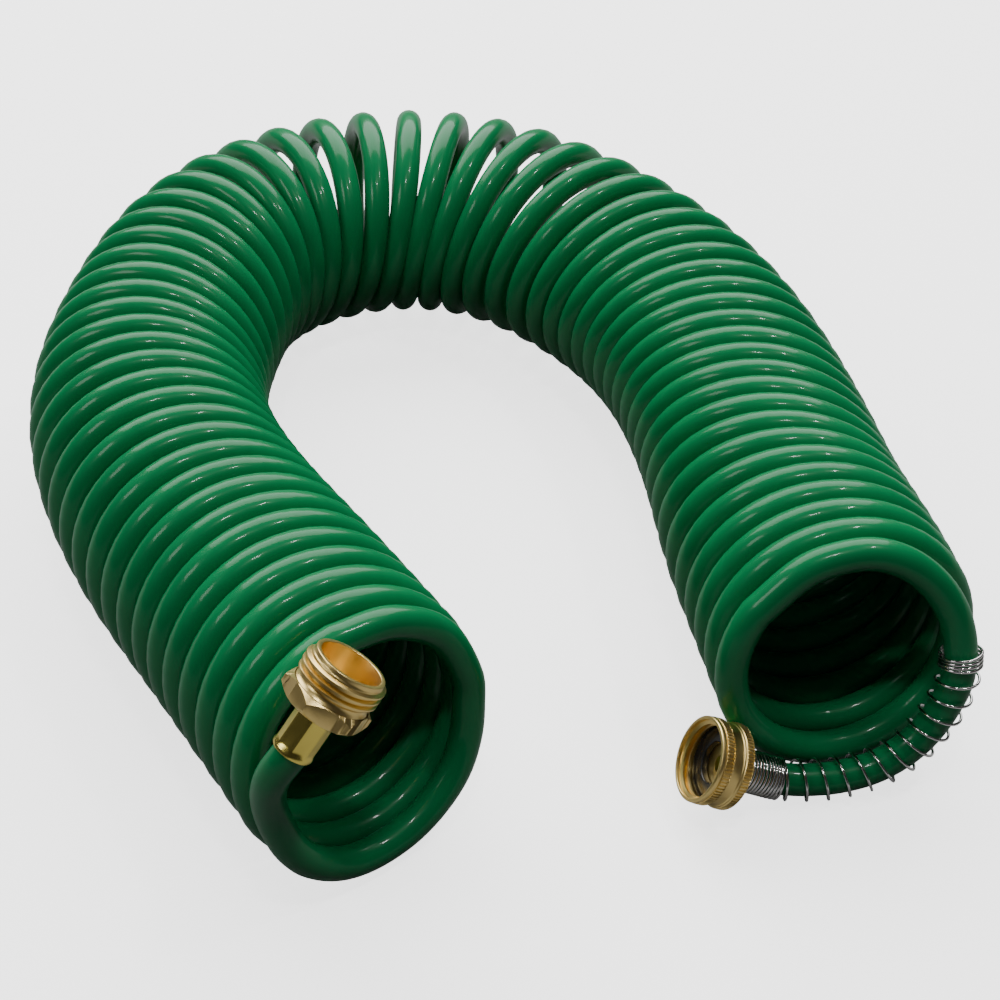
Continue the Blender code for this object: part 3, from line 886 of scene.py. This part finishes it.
class GARDENHOSE_OT_male_coupling(bpy.types.Operator):
    """Make the brass coupling with its hexagon, neck, thread and open bore"""
    bl_idname = "gardenhose.male_coupling"
    bl_label = "Male coupling"

    def execute(self, context):
        across = context.scene.hose_couplings.hex_across_flats
        back = FERRULE_LENGTH + FACE_GAP
        hex_top = back + HEX_LENGTH
        thread = hex_top + NECK_LENGTH
        mouth = thread + MALE_THREAD_TURNS * THREAD_PITCH + MALE_RIM_LENGTH
        bore_floor = mouth - MALE_BORE_DEPTH
        root = THREAD_RADIUS - THREAD_DEPTH
        shoulder = across / 2 * SHOULDER_SHARE
        hexagon = self.hexagon(across, back)
        profile = soften([
            (WATERWAY_RADIUS, back + SHAFT_IN_HEX, SHARP),
            (NECK_RADIUS - SHAFT_IN_HEX, back + SHAFT_IN_HEX, SHARP),
            (shoulder, hex_top - SHOULDER_LENGTH, SHARP),
            (shoulder, hex_top, TINY_ROUND),
            (NECK_RADIUS, hex_top + NECK_FLARE_LENGTH, NECK_ROUND),
            (NECK_RADIUS, thread - NECK_SLOPE_LENGTH, SMALL_ROUND),
            (root, thread, SMALL_ROUND),
            (root, mouth - MALE_THREAD_TO_MOUTH, SMALL_ROUND),
            (MALE_RIM_RADIUS, mouth - MALE_RIM_HEIGHT, SMALL_ROUND),
            (MALE_RIM_RADIUS, mouth, RIM_ROUND),
            (MALE_BORE_RADIUS, mouth, RIM_ROUND),
            (MALE_BORE_RADIUS, bore_floor, LIP_ROUND),
            (WATERWAY_RADIUS, bore_floor, SMALL_ROUND)])
        shaft = turned("shaft", profile, COUPLING_STEPS)
        ridge = thread_ridge(root, THREAD_RADIUS, thread + MALE_THREAD_START,
                             MALE_THREAD_TURNS)
        coupling = join("male_coupling", [shaft, hexagon, ridge])
        finish_piece(coupling, axis_frame(MALE_ORIGIN, MALE_AXIS), machined_brass(),
                     HOSE_BODY, ["male_fitting"])
        return {"FINISHED"}

    def hexagon(self, across, back):
        """Hexagon whose corners are cut round by a cone, as on a turned bar."""
        corner = across / 2 / math.cos(HEX_HALF_ANGLE)
        middle = back + HEX_LENGTH / 2
        deselect()
        bpy.ops.mesh.primitive_cylinder_add(
            vertices=6, radius=corner, depth=HEX_LENGTH,
            location=(0.0, 0.0, middle), rotation=(0.0, 0.0, HEX_HALF_ANGLE))
        hexagon = rename("hexagon")
        bpy.ops.object.transform_apply(location=True, rotation=True, scale=True)
        flat = across / 2 * HEX_CONE_SHARE
        outside = corner + HEX_CONE_PAST_CORNER
        drop = (outside - flat) * math.tan(HEX_CONE)
        top = back + HEX_LENGTH
        cone = turned("corner_cutter", [
            (HEX_CUTTER_BORE, back), (flat, back), (outside, back + drop), (outside, middle),
            (outside, top - drop), (flat, top), (HEX_CUTTER_BORE, top)], COUPLING_STEPS)
        apply_modifier(hexagon, "BOOLEAN", operation="INTERSECT", object=cone,
                       solver="EXACT")
        bpy.data.objects.remove(cone, do_unlink=True)
        apply_modifier(hexagon, "BEVEL", width=HEX_EDGE, segments=2,
                       limit_method="ANGLE", angle_limit=HEX_EDGE_ANGLE)
        return hexagon


class GARDENHOSE_OT_swivel_nut(bpy.types.Operator):
    """Make the brass swivel nut with its knurled bands and internal thread"""
    bl_idname = "gardenhose.swivel_nut"
    bl_label = "Swivel nut"

    def execute(self, context):
        knurls = context.scene.hose_couplings.knurls
        wall = THREAD_RADIUS + NUT_THREAD_CLEARANCE
        crest = wall - THREAD_DEPTH
        groove = NUT_RADIUS - NUT_GROOVE_DEPTH
        back_edge = NUT_BACK_BAND - NUT_BAND_EDGE
        front = NUT_LENGTH - NUT_LIP_LENGTH
        front_edge = front - NUT_BAND_GAP - NUT_KNURL_LENGTH
        profile = soften([
            (STEM_HOLE_RADIUS, 0.0, SMALL_ROUND),
            (NUT_RADIUS, 0.0, EDGE_ROUND),
            (NUT_RADIUS, back_edge * 0.5, SHARP),
            (NUT_RADIUS, back_edge, SMALL_ROUND),
            (groove + NUT_STEP_HEIGHT, back_edge + NUT_STEP_START, TINY_ROUND),
            (groove + NUT_STEP_HEIGHT, back_edge + NUT_STEP_END, FINE_ROUND),
            (groove, back_edge + NUT_STEP_FOOT, FINE_ROUND),
            (groove, front_edge - NUT_FRONT_SLOPE, SMALL_ROUND),
            (NUT_RADIUS, front_edge, SMALL_ROUND),
            (NUT_RADIUS, front_edge + NUT_KNURL_LENGTH * 0.5, SHARP),
            (NUT_RADIUS, front - NUT_BAND_GAP, SMALL_ROUND),
            (NUT_LIP_RADIUS - NUT_LIP_SLOPE[0], front, TINY_ROUND),
            (NUT_LIP_RADIUS, front + NUT_LIP_SLOPE[1], FINE_ROUND),
            (NUT_LIP_RADIUS, NUT_LENGTH, LIP_ROUND),
            (wall, NUT_LENGTH, SMALL_ROUND),
            (wall, NUT_BACK_WALL, SMALL_ROUND),
            (STEM_HOLE_RADIUS, NUT_BACK_WALL, SMALL_ROUND)])
        nut = turned("nut_shell", profile, knurls * NUT_STEPS_PER_KNURL)
        below, above = KNURL_FRONT_MARGINS
        self.knurl(nut, knurls, KNURL_BACK_MARGIN, back_edge)
        self.knurl(nut, knurls, front_edge - below, front - above)
        ridge_start = NUT_LENGTH - NUT_THREAD_FROM_MOUTH - NUT_THREAD_TURNS * THREAD_PITCH
        ridge = thread_ridge(wall, crest, ridge_start, NUT_THREAD_TURNS, inward=True)
        whole = join("knurled_nut", [nut, ridge])
        finish_piece(whole, axis_frame(NUT_ORIGIN, NUT_AXIS), machined_brass(),
                     NUT_BODY, ["swivel_nut"])
        return {"FINISHED"}

    def knurl(self, nut, count, low, high):
        """Presses straight grooves into one band of the nut."""
        sector = 2.0 * math.pi / count
        for vert in nut.data.vertices:
            radius = math.hypot(vert.co.x, vert.co.y)
            if radius < NUT_RADIUS - KNURL_DEPTH or not low < vert.co.z < high:
                continue
            share = (math.atan2(vert.co.y, vert.co.x) % sector) / sector
            if KNURL_CUT[0] < share < KNURL_CUT[1]:
                set_radius(vert, radius, radius - KNURL_DEPTH)


class GARDENHOSE_OT_washer(bpy.types.Operator):
    """Make the black rubber washer and finish the stem behind it"""
    bl_idname = "gardenhose.washer"
    bl_label = "Washer and stem"

    def execute(self, context):
        low = WASHER_BOTTOM
        high = WASHER_BOTTOM + WASHER_THICKNESS
        profile = soften([
            (WASHER_INNER_RADIUS, low, SMALL_ROUND),
            (WASHER_OUTER_RADIUS, low, SMALL_ROUND),
            (WASHER_OUTER_RADIUS, high, WASHER_ROUND),
            (WASHER_INNER_RADIUS, high, WASHER_ROUND)])
        washer = turned("rubber_washer", profile, WASHER_STEPS)
        finish_piece(washer, axis_frame(NUT_ORIGIN, NUT_AXIS), washer_black(),
                     NUT_BODY, ["washer"])
        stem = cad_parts["swivel_stem"]
        stem.material_slots[0].material = machined_brass()
        return {"FINISHED"}


class GARDENHOSE_OT_spring(bpy.types.Operator):
    """Wind the steel spring round the tube behind the nut"""
    bl_idname = "gardenhose.spring"
    bl_label = "Spring"

    def execute(self, context):
        settings = context.scene.hose_spring
        wire = cord_curve("spring_wire", self.wire_points(settings), settings.wire,
                          WIRE_BEVEL_RESOLUTION)
        only(wire)
        bpy.ops.object.convert(target="MESH")
        finish_piece(context.object, Matrix.Identity(4), spring_steel(),
                     HOSE_BODY, ["strain_relief_spring"], angle=WIRE_SMOOTH_ANGLE)
        return {"FINISHED"}

    def distance(self, settings, turn):
        """Distance of a turn from the nut, close wound at both ends."""
        close_pitch = settings.close_pitch
        near = settings.close_turns * close_pitch
        far = settings.end_turns * close_pitch
        gap = (settings.length - near - far) / settings.open_turns
        if turn <= settings.close_turns:
            return turn * close_pitch
        if turn <= settings.close_turns + settings.open_turns:
            return near + (turn - settings.close_turns) * gap
        past = turn - settings.close_turns - settings.open_turns
        return near + settings.open_turns * gap + past * close_pitch

    def wire_points(self, settings):
        """Centre of the wire, wound round the tube from the nut outwards."""
        path = smooth_path(female_end_path(WIRE_ROUTE_STEP)[::-1], WIRE_FINE_STEP)
        lengths = lengths_along(path)
        up = [Vector((0.0, 0.0, 1.0))]
        for a, b in zip(path, path[1:]):
            along = (b - a).normalized()
            up.append((up[-1] - along * up[-1].dot(along)).normalized())
        turns = settings.close_turns + settings.open_turns + settings.end_turns
        start = settings.wire / 2 + FACE_GAP
        points = []
        for n in range(turns * WIRE_STEPS_PER_TURN + 1):
            turn = n / WIRE_STEPS_PER_TURN
            want = start + self.distance(settings, turn)
            i = min(int(np.searchsorted(lengths, want)), len(path) - 2)
            along = (path[i + 1] - path[i]).normalized()
            across = (up[i] - along * up[i].dot(along)).normalized()
            third = along.cross(across)
            place = path[i] + along * (want - lengths[i])
            angle = 2.0 * math.pi * turn
            points.append(place + (across * math.cos(angle) + third * math.sin(angle))
                          * settings.mean_radius)
        return points


class GARDENHOSE_OT_declare(bpy.types.Operator):
    bl_idname = "gardenhose.declare"
    bl_label = "Declare the hose"

    def execute(self, context):
        points = whole_path()
        return {"FINISHED"}


class GARDENHOSE_PT_panel(bpy.types.Panel):
    """Buttons that make the hose piece by piece"""
    bl_idname = "GARDENHOSE_PT_panel"
    bl_label = "Garden hose"
    bl_space_type = "VIEW_3D"
    bl_region_type = "UI"
    bl_category = "Garden hose"

    def draw(self, context):
        scene = context.scene
        for group, names in ((scene.garden_hose, ("green", "gloss")),
                             (scene.hose_couplings, ("brass", "ferrule_brass",
                                                     "hex_across_flats", "flutes", "knurls")),
                             (scene.hose_spring, ("wire", "mean_radius", "close_turns",
                                                  "open_turns", "end_turns", "close_pitch",
                                                  "length")),
                             (scene.hose_stage, ("floor", "key_power", "panel_power",
                                                 "fill_power", "surround"))):
            box = self.layout.box()
            for name in names:
                box.prop(group, name)
        for operator in OPERATORS:
            self.layout.operator(operator.bl_idname)


OPERATORS = (
    GARDENHOSE_OT_stage, GARDENHOSE_OT_tube, GARDENHOSE_OT_ferrule,
    GARDENHOSE_OT_male_coupling, GARDENHOSE_OT_swivel_nut, GARDENHOSE_OT_washer,
    GARDENHOSE_OT_spring, GARDENHOSE_OT_declare,
)
GROUPS = (
    ("garden_hose", HoseSettings), ("hose_couplings", CouplingSettings),
    ("hose_spring", SpringSettings), ("hose_stage", StageSettings),
)


def register():
    for name, group in GROUPS:
        bpy.utils.register_class(group)
        setattr(bpy.types.Scene, name, PointerProperty(type=group))
    for operator in OPERATORS:
        bpy.utils.register_class(operator)
    bpy.utils.register_class(GARDENHOSE_PT_panel)


def unregister():
    bpy.utils.unregister_class(GARDENHOSE_PT_panel)
    for operator in reversed(OPERATORS):
        bpy.utils.unregister_class(operator)
    for name, group in reversed(GROUPS):
        delattr(bpy.types.Scene, name)
        bpy.utils.unregister_class(group)


def main():
    register()
    bpy.ops.gardenhose.stage()
    bpy.ops.gardenhose.tube()
    bpy.ops.gardenhose.ferrule()
    bpy.ops.gardenhose.male_coupling()
    bpy.ops.gardenhose.swivel_nut()
    bpy.ops.gardenhose.washer()
    bpy.ops.gardenhose.spring()
    bpy.ops.gardenhose.declare()


if __name__ == "__main__":
    main()
